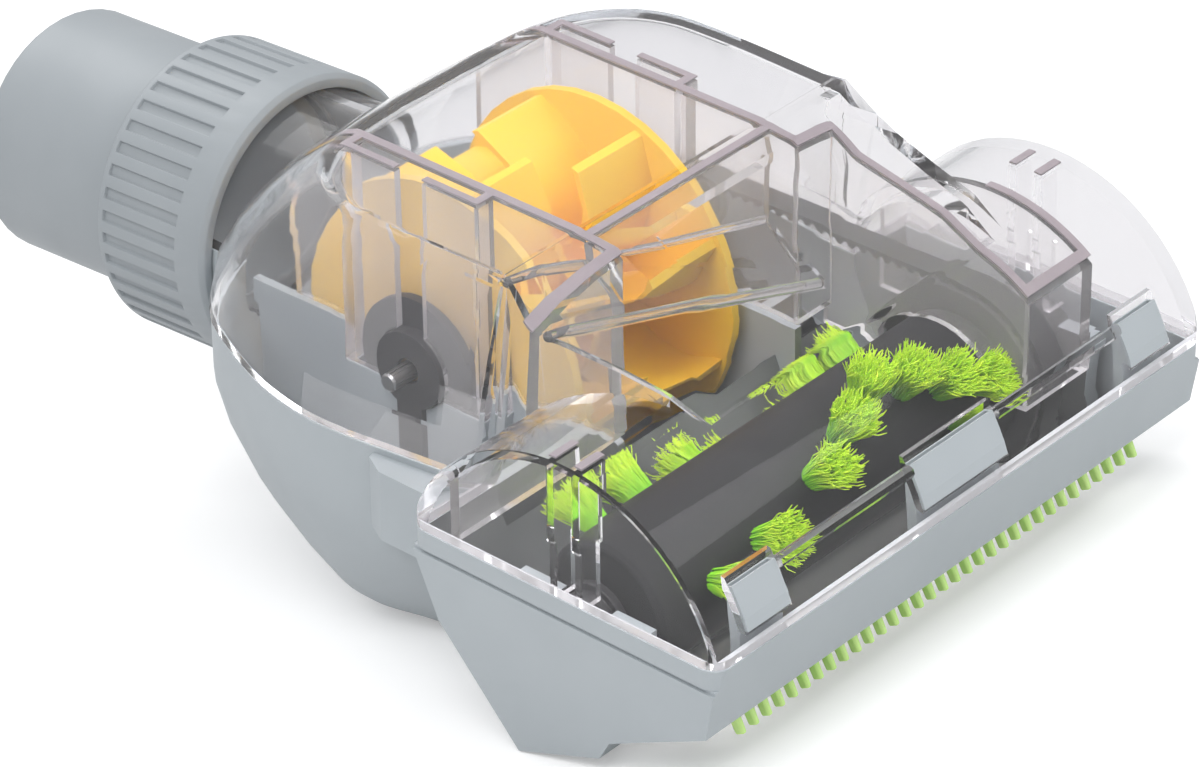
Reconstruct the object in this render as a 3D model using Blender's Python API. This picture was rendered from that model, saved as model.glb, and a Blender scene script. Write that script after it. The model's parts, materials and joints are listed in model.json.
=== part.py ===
# Turbo brush for a vacuum cleaner: air spins a turbine, and a toothed belt drives the bristle roller.
# Lengths are in millimetres in the rim frame: X along the roller, Y back to the hose tube, Z up from the
# seam between the grey base and the clear cover. The root empty then tilts the whole brush to rest.

import math

import bmesh
import bpy
import numpy as np
from mathutils import Matrix, Vector

MM = 0.001
WELD = 3e-6

# Clearances
SEAM_GAP = 0.3
FIT_GAP = 0.3
RUNNING_GAP = 0.6
AXLE_CLEARANCE = 0.06

# Head with the roller
HEAD_HALF = 60.0
SPREAD = HEAD_HALF / 60.0
RIM_STEP = 0.3
RIM_END = HEAD_HALF + RIM_STEP
BRUSH_Z = -7.7
RIM_HALF = 30.6
SKIN_RADIUS = math.hypot(RIM_HALF - RIM_STEP, BRUSH_Z)
WALL = 2.2
COVER_WALL = 2.0
LIP_DEPTH = 3.5
FLANGE_HEIGHT = 1.6
REAR_EDGE = (8.9, -32.4)
FRONT_EDGE = (2.1 - RIM_HALF, -12.6)
REAR_SLOPE = (RIM_HALF - 5.7, -15.4)
WORKING_LENGTH = math.hypot(REAR_EDGE[0] - FRONT_EDGE[0], REAR_EDGE[1] - FRONT_EDGE[1])

# Bowl and dome over the turbine
BOWL_MIDDLE = (63.0, -5.5)
BOWL_RADIUS = 39.5
TOP_HEIGHT = 35.0
BOWL_LEVELS = (-0.45, 0.14, 0.34, 0.54, 0.71, 0.84, 0.93, 0.992)
BOWL_STRAIGHT = 0.14
BOWL_WIDTHS = ((0.14, 1.0), (0.46, 0.95), (0.62, 0.89), (0.81, 0.815), (0.91, 0.75), (0.975, 0.66), (1.0, 0.56))
SEAM_PLAN = [
    (0, 23.5), (44.2, 23.5), (45.6, 30.2), (46.5, 37.9), (47.8, 47.3),
    (48.7, 54.4), (49.1, 61.9), (48.3, 69.1), (46.3, 77.1), (42.9, 85.5),
    (38.9, 93.6), (32.5, 100.2), (25.5, 104.6), (14, 107), (0, 107.6),
]
TOP_PLAN = [
    (0, 28), (28, 28), (40.4, 28), (40.6, 36.5), (40.8, 44), (40.8, 50), (40.6, 56), (40.2, 61),
    (38.6, 66), (35.6, 70.6), (31.5, 74), (26, 76.4), (19, 77.6), (9.5, 78), (0, 78),
]
CORNER_STATION = 2
DOME_LEVELS = (0.0, 0.2, 0.42, 0.64, 0.83, 0.965)
DOME_BULGE = 1.7
TOP_CHAMFER = 1.2

# Hood between the dome and the roller skin: y, lower half width, edge half width, edge height, middle height
HOOD = [
    (33.0, 44.3, 39.8, 34.4, 34.4),
    (27.4, 45.2, 40.5, 34.8, 34.8),
    (22.0, 43.2, 41.8, 29.8, 34.7),
    (16.6, 41.2, 40.4, 28.8, 30.6),
    (8.0, 39.2, 38.8, 27.4, 28.7),
    (-1.0, 37.8, 37.6, 25.8, 26.4),
    (-7.5, 36.7, 36.4, 22.6, 23.0),
    (-16.0, 36.0, 35.9, 15.0, 16.0),
]

# Lugs of the base beside the front of the dome, in plan
LUG_PLAN = [(44, 29), (50.2, 31), (51.6, 34), (51.6, 45), (49.5, 49), (44, 50.5)]
LUG_HEIGHTS = (-14.0, -1.2)

# Neck, ring and tube about one axis that slopes down to the rear
TUBE_START = (109.0, -4.95)
TUBE_SLOPE = math.radians(3.2)
TUBE_RADIUS = 21.5
TUBE_BORE = TUBE_RADIUS - 2.9
NECK_RADIUS = TUBE_RADIUS + 1.5
NECK_BORE = NECK_RADIUS - 2.6
NECK_LENGTH = 12.0
NECK_REACH = 22.0
RING_RADIUS = NECK_RADIUS + 2.7
RING_LENGTH = 25.0
RING_SHOULDER = 4.0
RING_BAND = 6.5
GROOVE_COUNT = 26
GROOVE_DEPTH = 0.7
TUBE_LENGTH = 57.5
COLLAR_LENGTH = 3.0
SEAL_LENGTH = 2.5

# Turbine
TURBINE_Y = 61.0
TURBINE_Z = -1.0
TURBINE_RADIUS = 29.0
CHAMBER_HALF = 21.0 * SPREAD
TURBINE_HALF = CHAMBER_HALF - 2.0
DISC_THICKNESS = 1.6
BLADES = 8
BLADE_THICKNESS = 1.5
BLADE_SWEEP = math.radians(32)
BLADE_TIPS = {-1: math.radians(97), 1: math.radians(110)}
ROW_GAP = 2.0
WEB_RADIUS = 15.0
HUB_RADIUS = 6.5
SHAFT_RADIUS = 1.6
SHAFT_OUT = 6.9

# Walls beside the turbine and the bearing holders; a wall that reaches PAST_ALL is trimmed to its shell
CHAMBER_WALL = 1.6
BRACKET_X = CHAMBER_HALF + CHAMBER_WALL + 2.3
BRACKET_WALL = 1.3
BRACKET_REACH = 14.6
SLOT_WIDTH = 5.8
HOLDER_RADIUS = 12.0
BOSS_RADIUS = 6.9
BEARING_RADIUS = 4.2
HOLDER_BAR = 21.0
SHAFT_WINDOW = 9.0
WALL_STEP = -5.0
PAST_ALL = 60.0
LOW_WALL_FRONT = 11.0
LOW_WALL_REAR = 18.0

# Ramp that guides the air from the roller to the turbine: y, left height, right height of its top
RAMP_THICKNESS = 1.6
RAMP_ENDS = [(28.4, (-40.5, 35.2), (22.0, 17.2)), (19.0, (-42.0, 29.6), (25.0, 7.6))]

# Roller, belt and pulleys
ROLLER_RADIUS = 12.0
BELT_X = 39.6 * SPREAD
ROLLER_LEFT = 10.5 - HEAD_HALF
ROLLER_RIGHT = BELT_X - 4.0
AXLE_RADIUS = 2.0
AXLE_SHORT = 3.5
AXLE_HALF = HEAD_HALF - AXLE_SHORT
BELT_WIDTH = 4.6
BELT_THICKNESS = 1.5
BRUSH_PULLEY_RADIUS = 14.2
TURBINE_PULLEY_RADIUS = 6.0
HOUSING_INSIDE = 10.1
HOUSING_OUTSIDE = 4.8
HOUSING_LEFT = BELT_X - HOUSING_INSIDE
HOUSING_RIGHT = BELT_X + HOUSING_OUTSIDE
HOUSING_FRONT = -18.0
HOUSING_REAR = 23.0
HOUSING_WALL = 1.5
TUNNEL_WALL = 1.8
SEAT_X = HEAD_HALF - 6.0
SEAT_WIDTH = 3.0
BUSH_RADIUS = 5.0
BUSH_HALF = 3.2

# Bristle tufts: share of the way from the roller's left end to the belt housing, and angle from the front
TUFT_ROW = [
    (1.0, 36), (0.915, 46), (0.829, 61), (0.729, 71), (0.617, 58), (0.497, 43), (0.298, 27), (0.153, 19),
]
ROW_ANGLES = (0, 138)
TUFT_ROOT = 1.7
TUFT_TIP = 3.3
TUFT_REACH = 20.3

# Comb strip on the front bar
COMB_HALF = HEAD_HALF - 9.6
COMB_TEETH = 33
COMB_THICKNESS = 1.8
COMB_BODY = 2.9
COMB_TOOTH = 4.4

# Mouth and front bar, measured forward along the working face from its rear edge
MOUTH = (5.0, WORKING_LENGTH - 7.7)
MOUTH_HALF = HEAD_HALF - 9.5
BAR = (WORKING_LENGTH - 7.4, WORKING_LENGTH - 0.7)
BAR_DEPTH = 3.7
COMB_ALONG = WORKING_LENGTH - 5.3

# Three tabs of the base that snap into windows of the cover: middle along X, width
TABS = [(13.0 - HEAD_HALF, 10.5), (0.0, 21.0), (HEAD_HALF - 13.0, 10.5)]
TAB_TOP = 9.6
# Outline of a tab: distance behind the front of the rim, height
TAB_OUTLINE = [
    (5.0, -6.0), (1.7, -6.0), (1.7, -1.2), (3.2, -0.6), (3.3, 1.4), (3.7, 2.75), (1.0, 2.95),
    (1.7, 4.9), (2.7, 6.9), (4.2, TAB_TOP), (5.8, TAB_TOP - 0.6), (5.4, 4.0), (5.0, 0.0),
]
WINDOW_BOTTOM = 2.4
WINDOW_DEPTH = 6.2
RAIL_RADIUS = 1.1
RAIL_MIDDLE = (4.0 - RIM_HALF, 8.9)

# Ribs over the ends of the roller: y of each rib
END_RIBS = (-2.7, 2.3)
RIB_THICKNESS = 1.4

COLOURS = {
    "grey plastic": ((0.42, 0.47, 0.50, 1), 0.45, 0.0),
    "ring plastic": ((0.36, 0.41, 0.44, 1), 0.5, 0.0),
    "clear plastic": ((0.86, 0.85, 0.88, 1), 0.08, 0.0),
    "yellow plastic": ((0.95, 0.56, 0.06, 1), 0.4, 0.0),
    "black plastic": ((0.055, 0.054, 0.058, 1), 0.45, 0.0),
    "dark rubber": ((0.03, 0.03, 0.032, 1), 0.75, 0.0),
    "steel": ((0.55, 0.55, 0.56, 1), 0.3, 1.0),
    "green bristle": ((0.32, 0.68, 0.03, 1), 0.5, 0.0),
    "green rubber": ((0.30, 0.60, 0.09, 1), 0.6, 0.0),
    "bronze": ((0.45, 0.30, 0.15, 1), 0.4, 1.0),
}


def clear_scene():
    for obj in list(bpy.data.objects):
        bpy.data.objects.remove(obj, do_unlink=True)


def material(name):
    found = bpy.data.materials.get(name)
    if found:
        return found
    colour, roughness, metallic = COLOURS[name]
    made = bpy.data.materials.new(name)
    made.use_nodes = True
    shader = made.node_tree.nodes["Principled BSDF"]
    shader.inputs["Base Color"].default_value = colour
    shader.inputs["Roughness"].default_value = roughness
    shader.inputs["Metallic"].default_value = metallic
    made.diffuse_color = colour
    return made


def shape(points, faces):
    """A closed solid from points in millimetres."""
    mesh = bpy.data.meshes.new("shape")
    work = bmesh.new()
    corners = [work.verts.new(Vector(point) * MM) for point in points]
    for face in faces:
        work.faces.new([corners[i] for i in face])
    bmesh.ops.recalc_face_normals(work, faces=work.faces)
    work.to_mesh(mesh)
    work.free()
    obj = bpy.data.objects.new("shape", mesh)
    bpy.context.scene.collection.objects.link(obj)
    return obj


def loft(rings):
    """Skins rings that have the same number of points, and caps both ends."""
    count = len(rings[0])
    points = [point for ring in rings for point in ring]
    faces = [list(range(count)), list(range(len(points) - count, len(points)))]
    for row in range(len(rings) - 1):
        first = row * count
        for i in range(count):
            j = (i + 1) % count
            faces.append([first + i, first + j, first + count + j, first + count + i])
    return shape(points, faces)


def prism(outline, axis, low, high):
    """Extrudes a flat outline along x, y or z. The outline holds the other two coordinates in order."""
    place = {"x": 0, "y": 1, "z": 2}[axis]
    rings = []
    for level in (low, high):
        rings.append([(*point[:place], level, *point[place:]) for point in outline])
    return loft(rings)


def box(low, high):
    outline = [(low[0], low[1]), (high[0], low[1]), (high[0], high[1]), (low[0], high[1])]
    return prism(outline, "z", low[2], high[2])


def turned(profile, middle, segments=48, along="x"):
    """Turns a closed profile of (position, radius) about an axis through the middle, given as (y, z)."""
    points = []
    rows = []
    for position, radius in profile:
        if radius == 0:
            rows.append([len(points)] * segments)
            points.append((position, 0, 0))
            continue
        rows.append([len(points) + i for i in range(segments)])
        for i in range(segments):
            angle = 2 * math.pi * i / segments
            points.append((position, radius * math.cos(angle), radius * math.sin(angle)))
    faces = []
    for first, second in zip(rows, rows[1:] + rows[:1]):
        for i in range(segments):
            j = (i + 1) % segments
            face = list(dict.fromkeys([first[i], first[j], second[j], second[i]]))
            if len(face) > 2:
                faces.append(face)
    if along == "x":
        placed = [(x, y + middle[0], z + middle[1]) for x, y, z in points]
    else:
        placed = [tube_point(x, y, z) for x, y, z in points]
    return shape(placed, faces)


def tube_point(along, side, up):
    """A point of the tube's own frame, measured back from the front of the ring."""
    cos, sin = math.cos(TUBE_SLOPE), math.sin(TUBE_SLOPE)
    return side, TUBE_START[0] + along * cos + up * sin, TUBE_START[1] - along * sin + up * cos


def combine(target, others, operation):
    """Booleans with the exact solver, and with the manifold one where the exact result isn't sound."""
    for other in others:
        for solver in ("EXACT", "MANIFOLD"):
            mesh = boolean_result(target, other, operation, solver)
            if sound(mesh, target.data, other.data, operation):
                break
        old = target.data
        target.data = mesh
        bpy.data.meshes.remove(old)
        bpy.data.objects.remove(other, do_unlink=True)
    return target


def boolean_result(target, other, operation, solver):
    modifier = target.modifiers.new("boolean", "BOOLEAN")
    modifier.solver = solver
    modifier.operation = operation
    modifier.object = other
    graph = bpy.context.evaluated_depsgraph_get()
    mesh = bpy.data.meshes.new_from_object(target.evaluated_get(graph))
    target.modifiers.clear()
    work = bmesh.new()
    work.from_mesh(mesh)
    bmesh.ops.remove_doubles(work, verts=work.verts, dist=WELD)
    bmesh.ops.dissolve_degenerate(work, edges=work.edges, dist=WELD)
    work.to_mesh(mesh)
    work.free()
    return mesh


def volume_if_closed(mesh):
    work = bmesh.new()
    work.from_mesh(mesh)
    volume = work.calc_volume() if all(edge.is_manifold for edge in work.edges) else None
    work.free()
    return volume


def sound(mesh, first, second, operation):
    """True if a boolean result is closed and its volume fits those of the two shapes."""
    made = volume_if_closed(mesh)
    if not made:
        return False
    one, two = volume_if_closed(first) or 0, volume_if_closed(second) or 0
    slack = 1e-4 * (one + two)
    if operation == "UNION":
        return max(one, two) - slack <= made <= one + two + slack
    if operation == "INTERSECT":
        return made <= min(one, two) + slack
    return one - two - slack <= made <= one + slack


def join(target, *others):
    return combine(target, others, "UNION")


def cut(target, *others):
    return combine(target, others, "DIFFERENCE")


def keep_inside(target, *others):
    return combine(target, others, "INTERSECT")


def finish(obj, name, surface, pivot=(0, 0, 0)):
    """Names the piece, gives it its material and puts its origin at the pivot."""
    obj.name = name
    obj.data.name = name
    obj.data.materials.clear()
    obj.data.materials.append(material(surface))
    obj.data.transform(Matrix.Translation(-Vector(pivot) * MM))
    obj.data.polygons.foreach_set("use_smooth", [True] * len(obj.data.polygons))
    obj.data.set_sharp_from_angle(angle=math.radians(32))
    obj.location = Vector(pivot) * MM
    obj.parent = bpy.data.objects["turbo_brush"]
    return obj


def inset_outline(outline, distance):
    """Moves each side of an anticlockwise outline inwards."""
    if distance == 0:
        return list(outline)
    points = np.array(outline, float)
    before = points - np.roll(points, 1, axis=0)
    after = np.roll(points, -1, axis=0) - points
    before /= np.linalg.norm(before, axis=1)[:, None]
    after /= np.linalg.norm(after, axis=1)[:, None]
    first = np.stack([-before[:, 1], before[:, 0]], axis=1)
    second = np.stack([-after[:, 1], after[:, 0]], axis=1)
    middle = (first + second) / (1 + (first * second).sum(axis=1))[:, None]
    return [tuple(point) for point in points + middle * distance]


def area(outline):
    points = np.array(outline, float)
    following = np.roll(points, -1, axis=0)
    return (points[:, 0] * following[:, 1] - points[:, 1] * following[:, 0]).sum() / 2


def anticlockwise(outline):
    return outline if area(outline) > 0 else outline[::-1]


def smoothed(stations):
    """Adds a point on the curve between every two stations behind the corner."""
    points = np.array(stations, float)
    made = [tuple(point) for point in points[: CORNER_STATION + 1]]
    for i in range(CORNER_STATION, len(points) - 1):
        before = points[max(i - 1, CORNER_STATION)]
        after = points[i + 2] if i + 2 < len(points) else points[i] * (-1, 1)
        made.append(tuple((9 * (points[i] + points[i + 1]) - before - after) / 16))
        made.append(tuple(points[i + 1]))
    return made


def both_sides(stations):
    """The closed outline of a half that runs from the front middle to the rear middle."""
    half = [(x * SPREAD, y) for x, y in smoothed(stations)]
    return anticlockwise(half + [(-x, y) for x, y in half[-2:0:-1]])


def arc(radius, start, end, count, middle=(0.0, 0.0)):
    angles = np.linspace(start, end, count)
    return [(middle[0] + radius * math.cos(a), middle[1] + radius * math.sin(a)) for a in angles]


def half_space(low, high):
    side = HEAD_HALF * 1.5
    return box((-side, -RIM_HALF * 2, low), (side, TUBE_START[0] + TUBE_LENGTH + TURBINE_RADIUS, high))


def skin_prism(inset):
    """The rounded skin over the roller."""
    radius = SKIN_RADIUS - inset
    start = math.asin(-BRUSH_Z / radius)
    outline = arc(radius, start, math.pi - start, 29, (0, BRUSH_Z))
    outline += [(outline[-1][0], -12.0), (outline[0][0], -12.0)]
    return prism(outline, "x", -HEAD_HALF + inset, HEAD_HALF - inset)


def dome(inset):
    seam, top = np.array(both_sides(SEAM_PLAN)), np.array(both_sides(TOP_PLAN))
    rings = [[(x, y, -12.0) for x, y in inset_outline(seam, inset)]]
    for level in DOME_LEVELS:
        share = level**DOME_BULGE
        outline = inset_outline(seam * (1 - share) + top * share, inset)
        rings.append([(x, y, level * (TOP_HEIGHT - inset)) for x, y in outline])
    rings.append([(x, y, TOP_HEIGHT - inset) for x, y in inset_outline(top, inset + TOP_CHAMFER)])
    return loft(rings)


def hood(inset):
    sections = []
    for y, lower, edge, edge_height, middle_height in HOOD:
        lower, edge = lower * SPREAD - inset, edge * SPREAD - inset
        section = [(-lower, y, 3.0)]
        for share in np.linspace(-1, 1, 13):
            height = edge_height + (middle_height - edge_height) * (1 - share**4)
            section.append((edge * share, y, height - inset))
        section.append((lower, y, 3.0))
        sections.append(section)
    return loft(sections)


def neck(radius, start, end):
    return turned([(start, 0), (start, radius), (end, radius), (end, 0)], None, 48, "tube")


def cover_solid(inset):
    return join(skin_prism(inset), dome(inset), hood(inset))


def bowl(inset):
    """The lower half of a fat wheel, from the seam plan down to a small flat."""
    seam = np.array(both_sides(SEAM_PLAN))
    middle_y, middle_z = BOWL_MIDDLE
    depths, widths = zip(*BOWL_WIDTHS)
    rings = []
    for ratio in BOWL_LEVELS:
        length = math.sqrt(1 - max(ratio, BOWL_STRAIGHT) ** 2)
        width = np.interp(ratio, depths, widths)
        outline = np.stack([seam[:, 0] * width, middle_y + (seam[:, 1] - middle_y) * length], axis=1)
        height = middle_z - ratio * (BOWL_RADIUS - inset)
        rings.append([(x, y, height) for x, y in inset_outline(outline, inset)])
    return loft(rings)


def head_outline(inset):
    front = [(RIM_HALF, 10.0), (-RIM_HALF, 10.0), (-RIM_HALF, 0.0), FRONT_EDGE]
    step = [(-18.4, -17.7), (-9.5, -22.3), (-7.5, -26.0)]
    rear = [REAR_EDGE, REAR_SLOPE, (RIM_HALF - 0.4, -LIP_DEPTH), (RIM_HALF, 0)]
    outline = front + rear if inset else front + step + rear
    return inset_outline(anticlockwise(outline), inset)


def base_solid(inset):
    half = RIM_END - inset
    return join(prism(head_outline(inset), "x", -half, half), bowl(inset))


def working_face(along, out):
    """A point (y, z) measured along the working face from its rear edge, and out of it."""
    forward = [(front - rear) / WORKING_LENGTH for rear, front in zip(REAR_EDGE, FRONT_EDGE)]
    outward = (-forward[1], forward[0])
    return (
        REAR_EDGE[0] + forward[0] * along + outward[0] * out,
        REAR_EDGE[1] + forward[1] * along + outward[1] * out,
    )


def face_outline(rear, front, low, high):
    """A rectangle set on the working face: from rear to front along it, and from low to high out of it."""
    corners = ((rear, high), (front, high), (front, low), (rear, low))
    return [working_face(along, out) for along, out in corners]


def drum(low, high, radius, middle, segments=28):
    """A plain cylinder along X."""
    low, high = sorted((low, high))
    return turned([(low, 0), (low, radius), (high, radius), (high, 0)], middle, segments)


def mirrored_boxes(boxes):
    """Each box as given for the right side, and again on the left."""
    made = []
    for low, high in boxes:
        made.append(box(low, high))
        made.append(box((-high[0], low[1], low[2]), (-low[0], high[1], high[2])))
    return made


def chamber_walls():
    """Grey walls beside the turbine, cut lower next to the bearing, and the ribs of the bearing slot."""
    inner, outer = CHAMBER_HALF, CHAMBER_HALF + CHAMBER_WALL
    front, rear = TURBINE_Y - LOW_WALL_FRONT, TURBINE_Y + LOW_WALL_REAR
    ledge = -SEAM_GAP * 3
    slot, reach = SLOT_WIDTH / 2, BRACKET_REACH
    rib = (BRACKET_X, BRACKET_X + BRACKET_WALL)
    return mirrored_boxes([
        ((inner, 22.0, -PAST_ALL), (outer, front, ledge)),
        ((inner, front - 1, -PAST_ALL), (outer, rear + 1, WALL_STEP)),
        ((inner, rear, -PAST_ALL), (outer, 99.0, ledge)),
        ((rib[0], TURBINE_Y - reach, -PAST_ALL), (rib[1], TURBINE_Y - slot, WALL_STEP)),
        ((rib[0], TURBINE_Y + slot, -PAST_ALL), (rib[1], TURBINE_Y + reach, WALL_STEP)),
        ((outer - 0.5, TURBINE_Y - reach, -PAST_ALL), (rib[1], TURBINE_Y - reach + 1.5, WALL_STEP)),
        ((outer - 0.5, TURBINE_Y + reach - 1.5, -PAST_ALL), (rib[1], TURBINE_Y + reach, WALL_STEP)),
    ]) + [
        box((-BRACKET_X * 2, 29, -PAST_ALL), (-inner, 31, ledge)),
        box((inner, 29, -PAST_ALL), (HOUSING_LEFT + 1, 31, ledge)),
    ]


def bearing_seats():
    seats = []
    for side in (-1, 1):
        low, high = sorted((side * (SEAT_X - SEAT_WIDTH / 2), side * (SEAT_X + SEAT_WIDTH / 2)))
        seat = box((low, -13, -PAST_ALL), (high, 13, -3.5))
        bore = BUSH_RADIUS + FIT_GAP
        cut(seat, drum(low - 2, high + 2, bore, (0, BRUSH_Z), 32))
        cut(seat, box((low - 2, -bore, BRUSH_Z), (high + 2, bore, 5)))
        seats.append(seat)
    return seats


def lugs():
    low, high = LUG_HEIGHTS
    return [prism([(side * x * SPREAD, y) for x, y in LUG_PLAN], "z", low, high) for side in (-1, 1)]


def base_walls():
    """Everything inside the base, trimmed to its skin."""
    bar = prism(face_outline(*BAR, -BAR_DEPTH, -1), "x", -HEAD_HALF + 1, HEAD_HALF - 1)
    inside = chamber_walls() + bearing_seats() + [bar]
    walls = join(inside[0], *inside[1:])
    keep_inside(walls, join(base_solid(WALL / 2), neck(NECK_BORE + 1, -NECK_REACH, NECK_LENGTH)))
    return cut(walls, half_space(-SEAM_GAP / 2, 40))


def mouth_and_comb_groove():
    """The opening under the roller, and the groove in the front bar that holds the comb strip."""
    half = COMB_THICKNESS / 2 + FIT_GAP
    groove = face_outline(COMB_ALONG - half, COMB_ALONG + half, -COMB_BODY - FIT_GAP, 6)
    groove_end = COMB_HALF + 2 * FIT_GAP
    return [
        prism(face_outline(*MOUTH, -6, 9), "x", -MOUTH_HALF, MOUTH_HALF),
        prism(groove, "x", -groove_end, groove_end),
    ]


def shaft_windows():
    """Holes for the turbine shaft in the chamber walls, and room for the bosses in the brackets."""
    holes = []
    for side in (-1, 1):
        ends = side * (CHAMBER_HALF - 3), side * (CHAMBER_HALF + CHAMBER_WALL + 0.6)
        holes.append(drum(*ends, SHAFT_WINDOW, (TURBINE_Y, TURBINE_Z)))
        ends = side * (BRACKET_X - 0.6), side * (BRACKET_X + BRACKET_WALL + 1)
        holes.append(drum(*ends, BOSS_RADIUS + FIT_GAP, (TURBINE_Y, TURBINE_Z)))
    return holes


def base_housing():
    belt_room = BELT_THICKNESS + FIT_GAP + RUNNING_GAP
    solid = join(base_solid(0), neck(NECK_RADIUS, -NECK_REACH, NECK_LENGTH), *lugs())
    join(solid, belt_tunnel(belt_room + TUNNEL_WALL))
    cut(solid, half_space(-SEAM_GAP / 2, 40))
    cut(solid, join(base_solid(WALL), neck(NECK_BORE, -NECK_REACH - 4, NECK_LENGTH + 3)))
    join(solid, base_walls())
    cut(solid, belt_tunnel(belt_room))
    for middle, width in TABS:
        half = width / 2 - FIT_GAP
        outline = [(y - RIM_HALF, z) for y, z in TAB_OUTLINE]
        join(solid, prism(outline, "x", middle - half, middle + half))
    cut(solid, *mouth_and_comb_groove(), *shaft_windows(), *lip_groove())
    return finish(solid, "base_housing", "grey plastic")


def belt_tunnel(extra):
    """The space of the belt between the head and the bowl, larger by the given distance."""
    half = BELT_WIDTH / 2 + extra
    tunnel = prism(belt_loop(extra), "x", BELT_X - half, BELT_X + half)
    front, rear = RIM_HALF - 21.6, RIM_HALF + 10.4
    return keep_inside(tunnel, box((BELT_X - half - 1, front, -PAST_ALL), (BELT_X + half + 1, rear, 30)))


def lip_groove():
    """A shadow groove under the lip, along the front and both ends of the head."""
    depth, low, high = 0.5, -LIP_DEPTH - 0.7, -LIP_DEPTH
    side_reach, front_reach = RIM_END + 5, RIM_HALF + 5
    cuts = [box((-side_reach, -front_reach, low), (side_reach, depth - RIM_HALF, high))]
    for side in (-1, 1):
        first, second = sorted((side * (RIM_END - depth), side * side_reach))
        cuts.append(box((first, -front_reach, low), (second, front_reach, high)))
    return cuts


def inner_cover_walls():
    """Clear walls under the cover: beside the turbine, around the air inlet and around the belt."""
    inner, outer = CHAMBER_HALF, CHAMBER_HALF + CHAMBER_WALL
    front, rear = TURBINE_Y - LOW_WALL_FRONT, TURBINE_Y + LOW_WALL_REAR
    slot, reach = SLOT_WIDTH / 2, BRACKET_REACH
    rib = (BRACKET_X, BRACKET_X + BRACKET_WALL)
    lowest = WALL_STEP + SEAM_GAP
    seam = SEAM_GAP / 2
    walls = mirrored_boxes([
        ((inner, 21.4, seam), (outer, 90.0, PAST_ALL)),
        ((inner, front + 0.3, lowest), (outer, rear - 0.3, 2)),
        ((rib[0], TURBINE_Y - reach, lowest), (rib[1], TURBINE_Y - slot, PAST_ALL)),
        ((rib[0], TURBINE_Y + slot, lowest), (rib[1], TURBINE_Y + reach, PAST_ALL)),
        ((outer - 0.5, TURBINE_Y - reach, seam), (rib[1], TURBINE_Y - reach + 1.5, PAST_ALL)),
        ((outer - 0.5, TURBINE_Y + reach - 1.5, seam), (rib[1], TURBINE_Y + reach, PAST_ALL)),
        ((outer + FIT_GAP, TURBINE_Y - reach, lowest), (rib[1], TURBINE_Y - reach + 1.5, 2)),
        ((outer + FIT_GAP, TURBINE_Y + reach - 1.5, lowest), (rib[1], TURBINE_Y + reach, 2)),
    ])
    walls.append(box((-HEAD_HALF, 21.4, seam), (-inner, 23.2, PAST_ALL)))
    walls.append(box((inner, 21.4, seam), (HOUSING_LEFT + 1, 23.2, PAST_ALL)))
    inlet = [(-inner - 1, 29.2), (inner + 1, 16.2), (inner + 1, PAST_ALL), (-inner - 1, PAST_ALL)]
    walls.append(prism(inlet, "y", 27.2, 28.8))
    return walls + [ramp()] + belt_housing() + end_ribs()


def ramp():
    rings = []
    for y, left, right in RAMP_ENDS:
        top = [(x * SPREAD, y, z) for x, z in (left, right)]
        rings.append(top + [(x, y, z - RAMP_THICKNESS) for x, z in (right, left)])
    return loft(rings)


def belt_housing():
    left, right = HOUSING_LEFT, HOUSING_RIGHT
    front, rear = HOUSING_FRONT, HOUSING_REAR
    wall = HOUSING_WALL
    low = -4.0
    return [
        box((left, front, low), (left + wall, rear, PAST_ALL)),
        box((right, front, low), (right + wall, rear, PAST_ALL)),
        box((left, front, low), (right + wall, front + wall, PAST_ALL)),
    ]


def end_ribs():
    """Thin ribs that hold the bearings of the roller down."""
    ribs = []
    for y in END_RIBS:
        ribs += mirrored_boxes([
            ((SEAT_X - 1.2, y, 8.0), (HEAD_HALF, y + RIB_THICKNESS, PAST_ALL)),
            ((SEAT_X - 0.6, y, -2.4), (SEAT_X + 3.4, y + RIB_THICKNESS, 9.0)),
        ])
    return ribs


def cover_windows():
    front, rear = -RIM_HALF - WINDOW_DEPTH, WINDOW_DEPTH - RIM_HALF
    bottom, top = WINDOW_BOTTOM, TAB_TOP + 1.2
    return [box((x - width / 2, front, bottom), (x + width / 2, rear, top)) for x, width in TABS]


def rails():
    """Beads on the skin between the windows."""
    outline = arc(RAIL_RADIUS, 0, 2 * math.pi * 7 / 8, 8, RAIL_MIDDLE)
    edges = [TABS[0][0] + TABS[0][1] / 2, TABS[1][0] - TABS[1][1] / 2]
    return [
        prism(outline, "x", edges[0], edges[1]),
        prism(outline, "x", -edges[1], -edges[0]),
    ]


def top_cover():
    solid = join(cover_solid(0), neck(NECK_RADIUS, -NECK_REACH, NECK_LENGTH))
    join(solid, box((-RIM_END, -RIM_HALF, -2), (RIM_END, RIM_HALF, FLANGE_HEIGHT)))
    cut(solid, half_space(-60, SEAM_GAP / 2))
    cut(solid, join(cover_solid(COVER_WALL), neck(NECK_BORE, -NECK_REACH - 4, NECK_LENGTH + 3)))
    pieces = inner_cover_walls()
    walls = join(pieces[0], *pieces[1:])
    keep_inside(walls, cover_solid(COVER_WALL / 2))
    join(solid, walls)
    axis = (0, BRUSH_Z)
    roller_hole = ROLLER_RADIUS + RUNNING_GAP + 0.3
    axle_hole = AXLE_RADIUS + 1.5
    cut(solid, drum(HOUSING_LEFT - 1, HOUSING_LEFT + HOUSING_WALL + 1, roller_hole, axis, 40))
    cut(solid, drum(HOUSING_RIGHT - 1, HOUSING_RIGHT + HOUSING_WALL + 1, axle_hole, axis, 24))
    cut(solid, *shaft_windows(), belt_tunnel(BELT_THICKNESS + FIT_GAP + RUNNING_GAP), *cover_windows())
    join(solid, *rails())
    return finish(solid, "top_cover", "clear plastic")


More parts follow.
